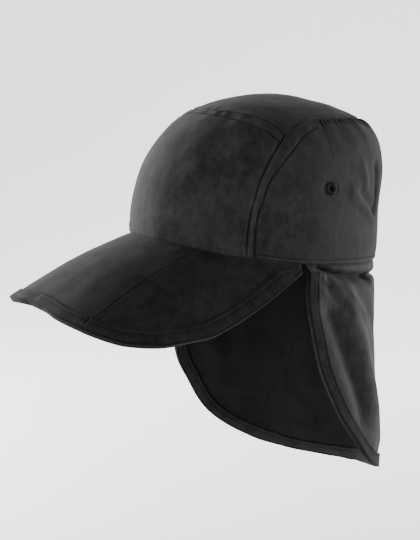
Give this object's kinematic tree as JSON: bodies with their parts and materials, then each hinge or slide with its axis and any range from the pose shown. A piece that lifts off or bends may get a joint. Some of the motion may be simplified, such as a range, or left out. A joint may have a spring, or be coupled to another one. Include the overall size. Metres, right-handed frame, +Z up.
{
  "type": "legionnaire cap",
  "caption": "Soft cap with a folding peak, eyelets each side, a gathered back and a bound neck flap that hangs from ear to ear.",
  "frame": {"origin": "middle of the head opening, at the level of the crown's edge", "axes": "+Z up, -Y towards the peak, +X towards the wearer's left"},
  "size_m": [0.2218, 0.3068, 0.3155],
  "materials": {
    "cloth": "soft brushed black microfibre",
    "flap_cloth": "soft brushed black microfibre",
    "tape": "folded black microfibre tape",
    "thread": "satin black embroidery thread"
  },
  "bodies": {
    "root": {"front_panel": "cloth", "top_panel": "cloth", "back_panel": "cloth", "eyelet_left": "thread", "eyelet_right": "thread", "peak_centre": "cloth", "peak_side_left": "cloth", "peak_side_right": "cloth", "peak_binding": "tape", "neck_flap": "flap_cloth", "flap_binding": "tape"}
  },
  "joints": []
}
